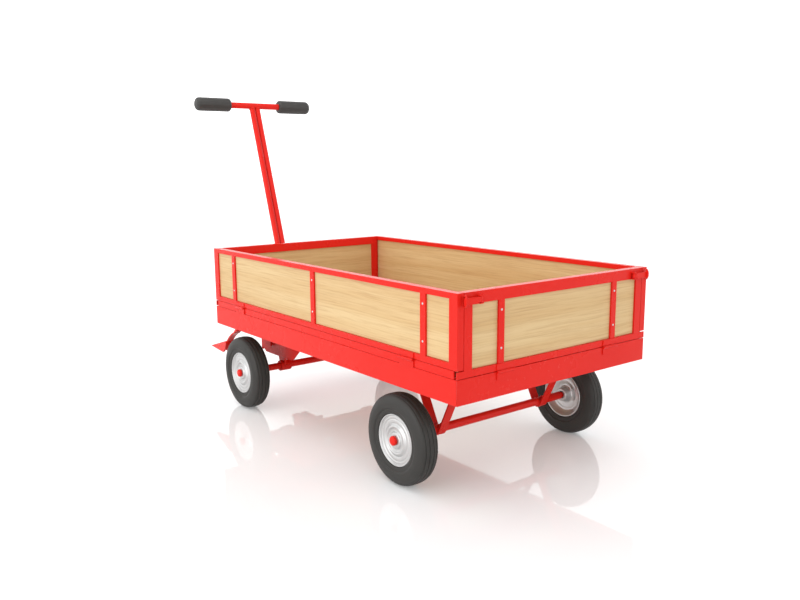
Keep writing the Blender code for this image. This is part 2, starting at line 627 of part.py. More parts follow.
def build_wheels():
    """Four wheels, each a tyre, a pressed rim with a real bore and a red hub cap."""
    half = TYRE_WIDE / 2
    tyre = [(RIM_R + 0.0004, -0.024), (0.078, -0.0275), (0.096, -half), (0.108, -0.0275), (0.1165, -0.020),
            (TYRE_R, -0.008), (TYRE_R, 0.008), (0.1165, 0.020), (0.108, 0.0275), (0.096, half), (0.078, 0.0275),
            (RIM_R + 0.0004, 0.024)]
    bore = STUB_R + 0.0004
    rim = [(bore, -0.030), (0.020, -0.030), (0.020, -0.004), (0.050, -0.008), (0.062, -0.023), (RIM_R, -0.023),
           (RIM_R, 0.023), (0.062, 0.023), (0.050, 0.010), (0.036, 0.018), (0.022, 0.018), (0.018, 0.0245),
           (bore, 0.0245)]
    cap = [(0, 0.0249), (0.0125, 0.0249), (0.0125, 0.030), (0.0095, 0.0335), (0, 0.0345)]
    for word, middle in (("rear", REAR_AXLE_Y), ("front", FRONT_AXLE_Y)):
        for mirror in (False, True):
            name = "%s_%s" % (word, side_word(mirror))
            centre = (WHEEL_X, middle, AXLE_Z)
            pivot = pivot_at("axis_wheel_" + name, ((-1 if mirror else 1) * WHEEL_X, middle, AXLE_Z))
            place("tyre_" + name, turned_mesh("tyre", tyre, centre, (1, 0, 0), 28), RUBBER, pivot, True, mirror)
            place("rim_" + name, turned_mesh("rim", rim, centre, (1, 0, 0), 28), SILVER, pivot, True, mirror)
            place("hub_cap_" + name, turned_mesh("cap", cap, centre, (1, 0, 0), 16), PAINT, pivot, True, mirror)


def main():
    """Clears the scene and builds the cart."""
    for thing in list(bpy.data.objects):
        bpy.data.objects.remove(thing)
    build_skirts()
    build_deck()
    build_fixed_hinges()
    build_side_boards()
    build_end_boards()
    build_latches()
    build_axles()
    build_bogie()
    build_turntable()
    build_drawbar()
    build_brake()
    build_wheels()


main()
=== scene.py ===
"""Looks of a hand-pulled garden cart, built round its packed steel and plywood parts.

The cart stands on the ground at Z = 0 and is pulled towards +Y. Every sub-assembly below is a class that holds its
own sizes in metres, shapes its pieces and gives each one its finish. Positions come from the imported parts.
"""

import logging
import math
from dataclasses import dataclass, field
from enum import Enum
from typing import Iterable, Optional, Sequence

import bmesh
import bpy
from mathutils import Matrix, Vector


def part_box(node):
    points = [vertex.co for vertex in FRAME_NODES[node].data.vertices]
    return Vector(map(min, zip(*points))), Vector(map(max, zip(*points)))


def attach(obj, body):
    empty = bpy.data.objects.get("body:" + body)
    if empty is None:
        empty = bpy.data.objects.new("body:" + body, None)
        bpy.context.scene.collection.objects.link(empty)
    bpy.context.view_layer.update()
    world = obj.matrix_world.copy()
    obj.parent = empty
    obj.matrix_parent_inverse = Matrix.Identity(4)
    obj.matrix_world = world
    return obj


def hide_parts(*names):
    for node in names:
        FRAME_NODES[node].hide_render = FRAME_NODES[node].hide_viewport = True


LOG = logging.getLogger("garden_cart")
Colour = tuple[float, float, float]
Point2 = tuple[float, float]
Number = "Value | float"


class Side(Enum):
    """Side of the cart seen from behind, with its sign along X."""

    LEFT = -1
    RIGHT = 1

    @property
    def word(self) -> str:
        """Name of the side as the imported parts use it."""
        return self.name.lower()


class End(Enum):
    """End of the cart, with the way its outer face looks along Y."""

    REAR = -1
    FRONT = 1

    @property
    def word(self) -> str:
        """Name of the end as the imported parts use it."""
        return self.name.lower()


class Grain(Enum):
    """Direction of the wood grain, as stretch factors along X, Y and Z."""

    ACROSS = (0.022, 1.0, 1.0)
    ALONG = (1.0, 0.022, 1.0)


# ---------------------------------------------------------------- shader writing


class Value:
    """One number that varies over a surface, written with ordinary operators."""

    def __init__(self, graph: "Graph", socket: bpy.types.NodeSocket) -> None:
        """Wraps an output socket of a graph."""
        self.graph = graph
        self.socket = socket

    def math(self, operation: str, *others: Number) -> "Value":
        """Adds one Math node.

        Args:
            operation: Name of the Math node's operation.
            others: Further operands after this value.

        Returns:
            The node's result.
        """
        inputs = {0: self}
        inputs.update({index + 1: other for index, other in enumerate(others)})
        return self.graph.value("ShaderNodeMath", {"operation": operation}, inputs)

    def __add__(self, other: Number) -> "Value":
        """Sum."""
        return self.math("ADD", other)

    __radd__ = __add__

    def __mul__(self, other: Number) -> "Value":
        """Product."""
        return self.math("MULTIPLY", other)

    __rmul__ = __mul__

    def __sub__(self, other: Number) -> "Value":
        """Difference."""
        return self.math("SUBTRACT", other)

    def __rsub__(self, other: float) -> "Value":
        """Difference from a plain number."""
        return self.math("MULTIPLY", -1.0).math("ADD", other)

    def clamp(self) -> "Value":
        """Keeps the value between 0 and 1."""
        return self.math("MAXIMUM", 0.0).math("MINIMUM", 1.0)


class Graph:
    """Node tree of one material."""

    def __init__(self, name: str) -> None:
        """Starts a material with an empty tree, a surface shader and an output."""
        self.material = bpy.data.materials.new(name)
        self.material.use_nodes = True
        self.tree = self.material.node_tree
        self.tree.nodes.clear()
        self.shader = self.tree.nodes.new("ShaderNodeBsdfPrincipled")
        output = self.tree.nodes.new("ShaderNodeOutputMaterial")
        self.tree.links.new(self.shader.outputs["BSDF"], output.inputs["Surface"])

    def feed(self, socket: bpy.types.NodeSocket, source: object) -> None:
        """Links a value or socket, or writes a plain number or colour.

        Args:
            socket: The input to fill.
            source: Value, socket, number or tuple.
        """
        if isinstance(source, Value):
            self.tree.links.new(source.socket, socket)
        elif isinstance(source, bpy.types.NodeSocket):
            self.tree.links.new(source, socket)
        elif isinstance(source, tuple) and socket.type == "RGBA":
            socket.default_value = (*source[:3], 1.0)
        else:
            socket.default_value = source

    def node(self, kind: str, settings: Optional[dict] = None, inputs: Optional[dict] = None) -> bpy.types.Node:
        """Adds any node.

        Args:
            kind: Node type.
            settings: Properties set first; "ramp" holds colour stops.
            inputs: Sockets by name or number, each with its value or link.

        Returns:
            The new node.
        """
        made = self.tree.nodes.new(kind)
        for key, setting in (settings or {}).items():
            if key == "ramp":
                stops = made.color_ramp.elements
                while len(stops) < len(setting):
                    stops.new(0.5)
                for stop, (where, colour) in zip(stops, setting):
                    stop.position = where
                    stop.color = (*colour, 1.0)
            else:
                setattr(made, key, setting)
        for key, source in (inputs or {}).items():
            self.feed(made.inputs[key], source)
        return made

    def value(self, kind: str, settings: Optional[dict] = None, inputs: Optional[dict] = None) -> Value:
        """Adds a node and returns its first output as a value."""
        return Value(self, self.node(kind, settings, inputs).outputs[0])

    def place(self, stretch: Sequence[float] = (1.0, 1.0, 1.0)) -> bpy.types.NodeSocket:
        """Point on the piece in its own metres, stretched along each axis."""
        point = self.node("ShaderNodeTexCoord").outputs["Object"]
        scaled = self.node("ShaderNodeVectorMath", {"operation": "MULTIPLY"}, {0: point, 1: tuple(stretch)})
        return scaled.outputs[0]

    def noise(self, place: bpy.types.NodeSocket, scale: float, detail: float = 2.0, rough: float = 0.5) -> Value:
        """Cloudy noise.

        Args:
            place: Point that it is read at.
            scale: Cells to the metre.
            detail: Octaves.
            rough: Weight of the finer octaves.

        Returns:
            A value round 0.5.
        """
        inputs = {"Vector": place, "Scale": scale, "Detail": detail, "Roughness": rough}
        return self.value("ShaderNodeTexNoise", None, inputs)

    def blend(self, share: Number, first: object, second: object) -> bpy.types.NodeSocket:
        """Mixes two colours by a share."""
        made = self.node("ShaderNodeMix", {"data_type": "RGBA"}, {0: share, 6: first, 7: second})
        return made.outputs[2]

    def bump(self, height: Value, depth: float, strength: float = 1.0) -> bpy.types.NodeSocket:
        """Normal tilted by a height of so many metres."""
        made = self.node("ShaderNodeBump", None, {"Height": height, "Distance": depth, "Strength": strength})
        return made.outputs["Normal"]

    def surface(self, **inputs: object) -> bpy.types.Material:
        """Fills the shader's sockets, named with underscores for spaces.

        Returns:
            The finished material.
        """
        for key, source in inputs.items():
            self.feed(self.shader.inputs[key.replace("_", " ")], source)
        return self.material


# ---------------------------------------------------------------- finishes


@dataclass(frozen=True)
class RedPaint:
    """Glossy red powder coat with orange peel, faint cloudiness and a little handling dust."""

    slot: str = "red_paint"
    colour: Colour = (0.71, 0.017, 0.010)
    deep: Colour = (0.66, 0.014, 0.008)
    dust: Colour = (0.68, 0.06, 0.04)
    roughness: float = 0.28
    sheen: float = 0.16

    def material(self) -> bpy.types.Material:
        """Builds the material."""
        graph = Graph(self.slot)
        place = graph.place()
        cloud = graph.noise(place, 7.0, 3.0)
        peel = graph.noise(place, 330.0, 1.0)
        scuff = ((graph.noise(place, 46.0, 7.0, 0.62) - 0.60) * 5.0).clamp()
        colour = graph.blend(cloud, self.colour, self.deep)
        colour = graph.blend(scuff * 0.22, colour, self.dust)
        rough = cloud * 0.10 + scuff * 0.16 + (self.roughness - 0.05)
        return graph.surface(
            Base_Color=colour, Roughness=rough, Specular_IOR_Level=self.sheen,
            Normal=graph.bump(peel, 0.00006, 0.5),
        )


@dataclass(frozen=True)
class Plywood:
    """Pale lacquered plywood with long streaks, a few darker growth lines and open pores."""

    grain: Grain = Grain.ALONG
    slot: str = "birch_ply"
    pale: Colour = (0.65, 0.475, 0.245)
    body: Colour = (0.56, 0.355, 0.155)
    line: Colour = (0.40, 0.215, 0.085)
    roughness: float = 0.50

    def material(self) -> bpy.types.Material:
        """Builds the material."""
        graph = Graph(self.slot + "_" + self.grain.name.lower())
        stretch = self.grain.value
        drift = graph.noise(graph.place(), 3.2, 2.0)
        place = graph.place(stretch)
        shifted = graph.node(
            "ShaderNodeVectorMath", {"operation": "ADD"},
            {0: place, 1: graph.node("ShaderNodeCombineXYZ", None, {"Z": drift * 0.010}).outputs[0]},
        ).outputs[0]
        wide = graph.noise(shifted, 30.0, 3.0, 0.55)
        fine = graph.noise(shifted, 250.0, 5.0, 0.66)
        pores = ((graph.noise(place, 900.0, 2.0) - 0.60) * 6.0).clamp()
        rings = (graph.noise(shifted, 52.0, 1.0) * 9.0).math("FRACT").math("SUBTRACT", 0.5).math("ABSOLUTE")
        growth = ((0.10 - rings) * 9.0).clamp() * ((wide - 0.44) * 4.0).clamp()
        colour = graph.blend(((wide - 0.33) * 2.6).clamp(), self.pale, self.body)
        colour = graph.blend(((fine - 0.47) * 3.6).clamp() * 0.62, colour, self.line)
        colour = graph.blend(((0.44 - fine) * 4.0).clamp() * 0.45, colour, self.pale)
        colour = graph.blend((growth * 0.38 + pores * 0.22).clamp(), colour, self.line)
        rough = fine * 0.16 + pores * 0.12 + (self.roughness - 0.08)
        height = fine * 0.6 - pores * 0.8
        return graph.surface(
            Base_Color=colour, Roughness=rough, Specular_IOR_Level=0.35,
            Normal=graph.bump(height, 0.00018, 0.6),
        )


@dataclass(frozen=True)
class TyreRubber:
    """Matt moulded rubber with a fine grain and patches of dust."""

    slot: str = "tyre_rubber"
    colour: Colour = (0.026, 0.0245, 0.022)
    dust: Colour = (0.060, 0.055, 0.049)
    roughness: float = 0.56

    def material(self) -> bpy.types.Material:
        """Builds the material."""
        graph = Graph(self.slot)
        place = graph.place()
        cloud = graph.noise(place, 24.0, 5.0, 0.6)
        grain = graph.noise(place, 1400.0, 2.0)
        dusty = ((cloud - 0.46) * 2.2).clamp()
        return graph.surface(
            Base_Color=graph.blend(dusty * 0.30, self.colour, self.dust), Specular_IOR_Level=0.38,
            Roughness=dusty * 0.16 + grain * 0.06 + (self.roughness - 0.05),
            Normal=graph.bump(grain, 0.00012, 0.6),
        )


@dataclass(frozen=True)
class GripFoam:
    """Black rubber grip with shallow grooves along its length."""

    slot: str = "grip_rubber"
    colour: Colour = (0.036, 0.034, 0.032)
    worn: Colour = (0.048, 0.045, 0.042)
    roughness: float = 0.50
    flutes: int = 14

    def material(self) -> bpy.types.Material:
        """Builds the material; the piece's own origin is on the grip's axis."""
        graph = Graph(self.slot)
        place = graph.place()
        cells = graph.value("ShaderNodeTexVoronoi", None, {"Vector": place, "Scale": 1100.0})
        cloud = graph.noise(place, 40.0, 4.0)
        parts = graph.node("ShaderNodeSeparateXYZ", None, {"Vector": place}).outputs
        turn = Value(graph, parts["Z"]).math("ARCTAN2", Value(graph, parts["Y"]))
        ridges = (turn * float(self.flutes)).math("SINE")
        return graph.surface(
            Base_Color=graph.blend(((cloud - 0.42) * 2.0).clamp(), self.colour, self.worn),
            Roughness=cloud * 0.12 + (self.roughness - 0.06), Specular_IOR_Level=0.40,
            Normal=graph.bump(ridges * 0.7 + cells * 0.25, 0.00045, 0.8),
        )


@dataclass(frozen=True)
class SpunSilver:
    """Pressed steel disc in bright silver, with turning lines round its middle."""

    slot: str = "wheel_silver"
    colour: Colour = (0.60, 0.60, 0.60)
    dull: Colour = (0.50, 0.50, 0.495)
    roughness: float = 0.34

    def material(self) -> bpy.types.Material:
        """Builds the material; the piece's own origin is the middle of the disc."""
        graph = Graph(self.slot)
        flat = graph.place((0.0, 1.0, 1.0))
        radius = Value(graph, graph.node("ShaderNodeVectorMath", {"operation": "LENGTH"}, {0: flat}).outputs["Value"])
        across = graph.node("ShaderNodeCombineXYZ", None, {"X": radius}).outputs[0]
        lines = graph.noise(across, 1500.0, 3.0, 0.7)
        cloud = graph.noise(graph.place(), 30.0, 4.0)
        return graph.surface(
            Base_Color=graph.blend(cloud, self.colour, self.dull), Metallic=0.80,
            Roughness=lines * 0.14 + cloud * 0.12 + (self.roughness - 0.12),
            Normal=graph.bump(lines, 0.00005, 0.6),
        )


@dataclass(frozen=True)
class ZincSteel:
    """Zinc plated fastener steel."""

    slot: str = "zinc_steel"
    colour: Colour = (0.66, 0.66, 0.67)
    roughness: float = 0.30

    def material(self) -> bpy.types.Material:
        """Builds the material."""
        graph = Graph(self.slot)
        place = graph.place()
        cloud = graph.noise(place, 300.0, 4.0)
        return graph.surface(
            Base_Color=graph.blend(cloud, self.colour, (0.50, 0.50, 0.49)), Metallic=1.0,
            Roughness=cloud * 0.24 + (self.roughness - 0.12), Normal=graph.bump(cloud, 0.00003, 0.5),
        )


class Wardrobe:
    """Keeps one material of each finish, so that pieces share them."""

    def __init__(self) -> None:
        """Starts empty."""
        self.made: dict[object, bpy.types.Material] = {}

    def dress(self, piece: bpy.types.Object, finish: object) -> None:
        """Gives a piece its finish.

        Args:
            piece: The mesh object.
            finish: Any of the finish classes above.
        """
        if finish not in self.made:
            self.made[finish] = finish.material()
        piece.data.materials.clear()
        piece.data.materials.append(self.made[finish])


WARDROBE = Wardrobe()
PAINT = RedPaint()
ZINC = ZincSteel()


# ---------------------------------------------------------------- shaping


class Form:
    """Mesh of one piece while it is being shaped."""

    def __init__(self) -> None:
        """Starts with no faces."""
        self.work = bmesh.new()

    @classmethod
    def of_part(cls, node: str, whole: bool = True) -> "Form":
        """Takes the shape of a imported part.

        Args:
            node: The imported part's name.
            whole: Whether the triangles of each flat face are joined into one face.

        Returns:
            A form with that part's shape.
        """
        form = cls()
        form.work.from_mesh(FRAME_NODES[node].data)
        bmesh.ops.remove_doubles(form.work, verts=form.work.verts, dist=2e-6)
        if whole:
            bmesh.ops.dissolve_limit(
                form.work, angle_limit=math.radians(0.5), verts=form.work.verts, edges=form.work.edges
            )
        return form

    def turned(self, profile: Sequence[Point2], centre: Vector, axis: Vector, steps: int, whole: bool = True) -> "Form":
        """Adds a turned body.

        Args:
            profile: (along, radius) points; a whole profile closes on itself.
            centre: Point on the axis where along is 0.
            axis: Direction of the axis.
            steps: Faces round the axis.
            whole: Whether the last point joins the first one.

        Returns:
            This form.
        """
        frame = axis.normalized().to_track_quat("Z", "Y").to_matrix()
        rings: list[list[bmesh.types.BMVert]] = []
        for along, radius in profile:
            if radius < 1e-7:
                tip = self.work.verts.new(centre + frame @ Vector((0, 0, along)))
                rings.append([tip] * steps)
                continue
            ring = []
            for step in range(steps):
                turn = math.tau * step / steps
                spot = Vector((radius * math.cos(turn), radius * math.sin(turn), along))
                ring.append(self.work.verts.new(centre + frame @ spot))
            rings.append(ring)
        last = len(rings) if whole else len(rings) - 1
        for row in range(last):
            near, far = rings[row], rings[(row + 1) % len(rings)]
            for step in range(steps):
                after = (step + 1) % steps
                corners: list[bmesh.types.BMVert] = []
                for vert in (near[step], near[after], far[after], far[step]):
                    if vert not in corners:
                        corners.append(vert)
                if len(corners) > 2:
                    self.work.faces.new(corners)
        return self

    def bar(self, start: Vector, end: Vector, radius: float, steps: int = 32) -> "Form":
        """Adds a round bar with softened ends between two points."""
        run = end - start
        soft = min(radius * 0.2, 0.001)
        profile = [(0, 0), (0, radius - soft), (soft, radius), (run.length - soft, radius),
                   (run.length, radius - soft), (run.length, 0)]
        return self.turned(profile, start, run, steps)

    def bead(self, path: Sequence[Vector], radius: float, sides: int = 8) -> "Form":
        """Adds a closed round bead, such as a weld, along a loop of points."""
        count = len(path)
        rings = []
        for index, spot in enumerate(path):
            run = (path[(index + 1) % count] - path[index - 1]).normalized()
            frame = run.to_track_quat("Z", "Y").to_matrix()
            size = radius * (1.0 + 0.16 * math.sin(index * 2.1))
            ring = []
            for side in range(sides):
                turn = math.tau * side / sides
                aside = Vector((size * math.cos(turn), size * math.sin(turn), 0))
                ring.append(self.work.verts.new(spot + frame @ aside))
            rings.append(ring)
        for index in range(count):
            near, far = rings[index], rings[(index + 1) % count]
            for side in range(sides):
                after = (side + 1) % sides
                self.work.faces.new((near[side], near[after], far[after], far[side]))
        return self

    def put(
        self, name: str, finish: object, body: str, stands_for: Iterable[str] = (), edge: float = 0.0,
        origin: Optional[Vector] = None, sharp: float = 40.0,
    ) -> bpy.types.Object:
        """Turns the form into a finished piece that rides on a body.

        Args:
            name: The piece's name.
            finish: Its finish.
            body: The body that it moves with.
            stands_for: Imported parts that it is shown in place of.
            edge: Radius of its rounded edges, or 0 for none.
            origin: The piece's own origin, or None for the cart's.
            sharp: Angle in degrees above which an edge stays crisp where edges aren't rounded.

        Returns:
            The new object.
        """
        bmesh.ops.recalc_face_normals(self.work, faces=self.work.faces)
        if origin is not None:
            bmesh.ops.translate(self.work, verts=self.work.verts, vec=-origin)
        mesh = bpy.data.meshes.new(name)
        self.work.to_mesh(mesh)
        self.work.free()
        piece = bpy.data.objects.new(name, mesh)
        bpy.context.scene.collection.objects.link(piece)
        if origin is not None:
            piece.location = origin
        mesh.shade_smooth()
        if edge > 0:
            rounding = piece.modifiers.new("rounded_edges", "BEVEL")
            rounding.width = edge
            rounding.segments = 3
            rounding.limit_method = "ANGLE"
            rounding.angle_limit = math.radians(32)
            rounding.miter_outer = "MITER_ARC"
            even = piece.modifiers.new("even_shading", "WEIGHTED_NORMAL")
            even.keep_sharp = True
        else:
            mesh.set_sharp_from_angle(angle=math.radians(sharp))
        WARDROBE.dress(piece, finish)
        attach(piece, body)
        stands_for = list(stands_for)
        if stands_for:
            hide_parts(*stands_for)
        LOG.info("%s rides on %s", name, body)
        return piece


def softened(points: Sequence[Point2], rounds: int = 2, closed: bool = True) -> list[Point2]:
    """Rounds the corners of an outline by cutting each one twice.

    Args:
        points: The outline.
        rounds: How many times the corners are cut.
        closed: Whether the outline joins up.

    Returns:
        A smoother outline.
    """
    for _ in range(rounds):
        fresh: list[Point2] = []
        count = len(points)
        for index in range(count if closed else count - 1):
            (ay, az), (by, bz) = points[index], points[(index + 1) % count]
            fresh.append((ay * 0.75 + by * 0.25, az * 0.75 + bz * 0.25))
            fresh.append((ay * 0.25 + by * 0.75, az * 0.25 + bz * 0.75))
        points = fresh if closed else [points[0], *fresh, points[-1]]
    return list(points)


# ---------------------------------------------------------------- sub-assemblies


@dataclass
class Chassis:
    """Skirt rails, hinge strips, cross members, deck, fixed hinge leaves and the fixed half of the turntable."""

    rail_edge: float = 0.0007
    leaf_edge: float = 0.00035
    deck_edge: float = 0.0008
    turned_edge: float = 0.0010
    body: str = "chassis"

    def build(self) -> None:
        """Dresses every chassis piece."""
        for node in sorted(FRAME_NODES):
            if node.startswith(("skirt", "cross_member", "hinge_strip")):
                Form.of_part(node).put("painted_" + node, PAINT, self.body, [node], self.rail_edge)
            elif node.startswith("hinge_"):
                Form.of_part(node).put("painted_" + node, PAINT, self.body, [node], self.leaf_edge)
        Form.of_part("deck_board").put("wood_deck", Plywood(Grain.ALONG), self.body, ["deck_board"], self.deck_edge)
        ring = Form.of_part("turntable_upper")
        ring.put("painted_turntable", PAINT, self.body, ["turntable_upper"], self.turned_edge)
        Form.of_part("kingpin").put("plated_kingpin", ZINC, self.body, ["kingpin"], self.turned_edge)


@dataclass
class Bolt:
    """Dome-headed coach bolt on a thin washer."""

    head_r: float = 0.0021
    head_tall: float = 0.0013
    washer_r: float = 0.0029
    washer_tall: float = 0.0004

    def add_to(self, form: Form, seat: Vector, outward: Vector) -> None:
        """Adds the bolt to a form.

        Args:
            form: The form that collects bolts.
            seat: Point on the face under the washer.
            outward: Direction that the head looks.
        """
        top = self.washer_tall
        washer = [(-0.0004, 0), (-0.0004, self.washer_r), (top * 0.6, self.washer_r), (top, self.washer_r * 0.94),
                  (top, 0)]
        dome = [(top * 0.5, 0), (top * 0.5, self.head_r)]
        for step in range(1, 6):
            turn = math.pi / 2 * step / 5
            dome.append((top + self.head_tall * math.sin(turn), self.head_r * math.cos(turn)))
        form.turned(washer, seat, outward, 20)
        form.turned(dome, seat, outward, 20)


@dataclass
class Boards:
    """The four drop-down boards: welded frame, plywood panel and the bolts that hold the straps to the panel."""

    frame_edge: float = 0.0009
    panel_edge: float = 0.0006
    side_bolts: tuple[float, float] = (0.400, 0.4905)
    end_bolts: tuple[float, float] = (0.385, 0.477)
    side_straps: tuple[float, float, float] = (0.121, 0.610, 1.098)
    end_strap: float = 0.210
    side_face: float = 0.350
    bolt: Bolt = field(default_factory=Bolt)

    def build(self) -> None:
        """Builds both side boards and both end boards."""
        rear_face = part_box("skirt_rear")[0].y
        for side in Side:
            body = "board_" + side.word
            self._frame_and_panel(side.word, body, Grain.ALONG)
            face = side.value * self.side_face
            bolts = Form()
            for along in self.side_straps:
                for height in self.side_bolts:
                    self.bolt.add_to(bolts, Vector((face, rear_face + along, height)), Vector((side.value, 0, 0)))
            bolts.put("plated_bolts_" + body, ZINC, body)
        for end in End:
            body = "board_" + end.word
            self._frame_and_panel(end.word, body, Grain.ACROSS)
            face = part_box("skirt_" + end.word)[0 if end is End.REAR else 1].y
            bolts = Form()
            for across in (-self.end_strap, self.end_strap):
                for height in self.end_bolts:
                    self.bolt.add_to(bolts, Vector((across, face, height)), Vector((0, end.value, 0)))
            bolts.put("plated_bolts_" + body, ZINC, body)

    def _frame_and_panel(self, word: str, body: str, grain: Grain) -> None:
        """Dresses one board's frame and panel."""
        frame, panel = "board_frame_" + word, "board_panel_" + word
        Form.of_part(frame, whole=False).put("painted_" + frame, PAINT, body, [frame], self.frame_edge)
        Form.of_part(panel).put("wood_" + panel, Plywood(grain), body, [panel], self.panel_edge)


@dataclass
class Latches:
    """The four corner latches."""

    edge: float = 0.0005

    def build(self) -> None:
        """Dresses each latch lever."""
        for end in End:
            for side in Side:
                node = f"latch_{end.word}_{side.word}"
                Form.of_part(node).put("painted_" + node, PAINT, node, [node], self.edge)


@dataclass
class Undercarriage:
    """Axles, struts, bogie tray, clevis and brake bracket."""

    strap_faces: tuple[float, float] = (0.1833, 0.2107)
    collar_faces: tuple[float, float] = (0.1562, 0.1953)
    axle_r: float = 0.0115
    stub_r: float = 0.0080
    shoulder: float = 0.285
    weld_r: float = 0.0013
    edge: float = 0.0008
    turned_edge: float = 0.0010

    def build(self) -> None:
        """Builds the fixed rear half and the steered front half."""
        for end, body, faces in ((End.REAR, "chassis", self.strap_faces), (End.FRONT, "steering", self.collar_faces)):
            axle = end.word + "_axle"
            self._axle(axle, body)
            low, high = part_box(axle)
            middle = (low + high) / 2
            for side in Side:
                node = f"{end.word}_strut_{side.word}"
                Form.of_part(node).put("painted_" + node, PAINT, body, [node], self.edge)
                welds = Form()
                for face in faces:
                    welds.bead(self._ring(side.value * face, middle), self.weld_r)
                welds.put(f"painted_welds_{end.word}_{side.word}", PAINT, body)
        folded = {"bogie_tray": self.turned_edge, "drawbar_clevis": self.edge, "brake_bracket": self.edge}
        for node, edge in folded.items():
            Form.of_part(node).put("painted_" + node, PAINT, "steering", [node], edge)
        Form.of_part("drawbar_pin").put("plated_drawbar_pin", ZINC, "steering", ["drawbar_pin"], self.turned_edge)

    def _axle(self, node: str, body: str) -> None:
        """Builds one round axle bar with its turned-down stubs."""
        low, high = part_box(node)
        middle = (low + high) / 2
        half, shoulder, thick, thin = high.x, self.shoulder, self.axle_r, self.stub_r
        right = [
            (shoulder - 0.0012, thick), (shoulder, thick - 0.0012), (shoulder, thin), (half - 0.001, thin),
            (half, thin - 0.001), (half, 0),
        ]
        profile = [(-along, radius) for along, radius in reversed(right)] + right
        form = Form().turned(profile, Vector((0, middle.y, middle.z)), Vector((1, 0, 0)), 48)
        form.put("painted_" + node, PAINT, body, [node])

    def _ring(self, across: float, middle: Vector) -> list[Vector]:
        """Loop of points round the axle bar at one place across the cart."""
        radius = self.axle_r + 0.0006
        turns = [math.tau * step / 30 for step in range(30)]
        return [Vector((across, middle.y + radius * math.cos(t), middle.z + radius * math.sin(t))) for t in turns]


@dataclass
class Wheels:
    """Four wheels: grooved tyre, pressed silver disc with raised rings, red hub cap."""

    steps: int = 96

    def build(self) -> None:
        """Builds every wheel about its own centre."""
        for end in End:
            for side in Side:
                self._wheel(end, side)

    def _wheel(self, end: End, side: Side) -> None:
        """Builds one wheel.

        Args:
            end: End of the cart that it is at.
            side: Side of the cart that it is on.
        """
        word = f"{end.word}_{side.word}"
        low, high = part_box("tyre_" + word)
        centre = (low + high) / 2
        outward = Vector((side.value, 0, 0))
        body = "wheel_" + word
        for name, profile, finish in (
            ("tyre_", self._tyre(), TyreRubber()),
            ("rim_", self._rim(), SpunSilver()),
            ("hub_cap_", self._cap(), PAINT),
        ):
            form = Form().turned(profile, centre, outward, self.steps)
            form.put("round_" + name + word, finish, body, [name + word], origin=centre, sharp=50.0)

    @staticmethod
    def _tyre() -> list[Point2]:
        """(along, radius) section of the tyre: sidewall ring, shoulders and tread grooves."""
        half = [
            (0.0236, 0.0690), (0.0254, 0.0712), (0.0262, 0.0760), (0.0262, 0.0800), (0.0268, 0.0818),
            (0.0286, 0.0830), (0.0296, 0.0850), (0.0299, 0.0900), (0.0298, 0.0960), (0.0292, 0.1000),
            (0.0262, 0.1095), (0.0236, 0.1140), (0.0206, 0.1166), (0.0180, 0.1178), (0.0176, 0.1160),
            (0.0166, 0.1160), (0.0162, 0.1184), (0.0120, 0.1193), (0.0072, 0.1198), (0.0068, 0.1176),
            (0.0056, 0.1176), (0.0052, 0.1199), (0.0018, 0.1200),
        ]
        whole = half + [(-along, radius) for along, radius in reversed(half)]
        return softened(whole, 1)

    @staticmethod
    def _rim() -> list[Point2]:
        """(along, radius) section of the pressed disc."""
        face = [
            (0.0222, 0.0684), (0.0236, 0.0680), (0.0240, 0.0664), (0.0234, 0.0646), (0.0206, 0.0636),
            (0.0200, 0.0626), (0.0206, 0.0616), (0.0208, 0.0572), (0.0198, 0.0562), (0.0192, 0.0552),
            (0.0198, 0.0542), (0.0206, 0.0532), (0.0204, 0.0452), (0.0192, 0.0444), (0.0188, 0.0434),
            (0.0196, 0.0424), (0.0204, 0.0408), (0.0224, 0.0392), (0.0238, 0.0366), (0.0234, 0.0336),
            (0.0214, 0.0318), (0.0190, 0.0308), (0.0184, 0.0250), (0.0190, 0.0226), (0.0222, 0.0212),
            (0.0240, 0.0196), (0.0244, 0.0176), (0.0244, 0.0088),
        ]
        back = [
            (-0.0298, 0.0088), (-0.0298, 0.0180), (-0.0282, 0.0196), (-0.0080, 0.0216), (-0.0050, 0.0260),
            (-0.0060, 0.0340), (-0.0086, 0.0400), (-0.0070, 0.0460), (-0.0090, 0.0520), (-0.0160, 0.0590),
            (-0.0222, 0.0632), (-0.0238, 0.0652), (-0.0236, 0.0676), (-0.0222, 0.0684),
        ]
        return softened(face + back, 1)

    @staticmethod
    def _cap() -> list[Point2]:
        """(along, radius) section of the domed hub cap."""
        return [(0.0249, 0), (0.0249, 0.0118), (0.0256, 0.0125), (0.0296, 0.0125), (0.0318, 0.0118),
                (0.0334, 0.0100), (0.0342, 0.0070), (0.0345, 0)]


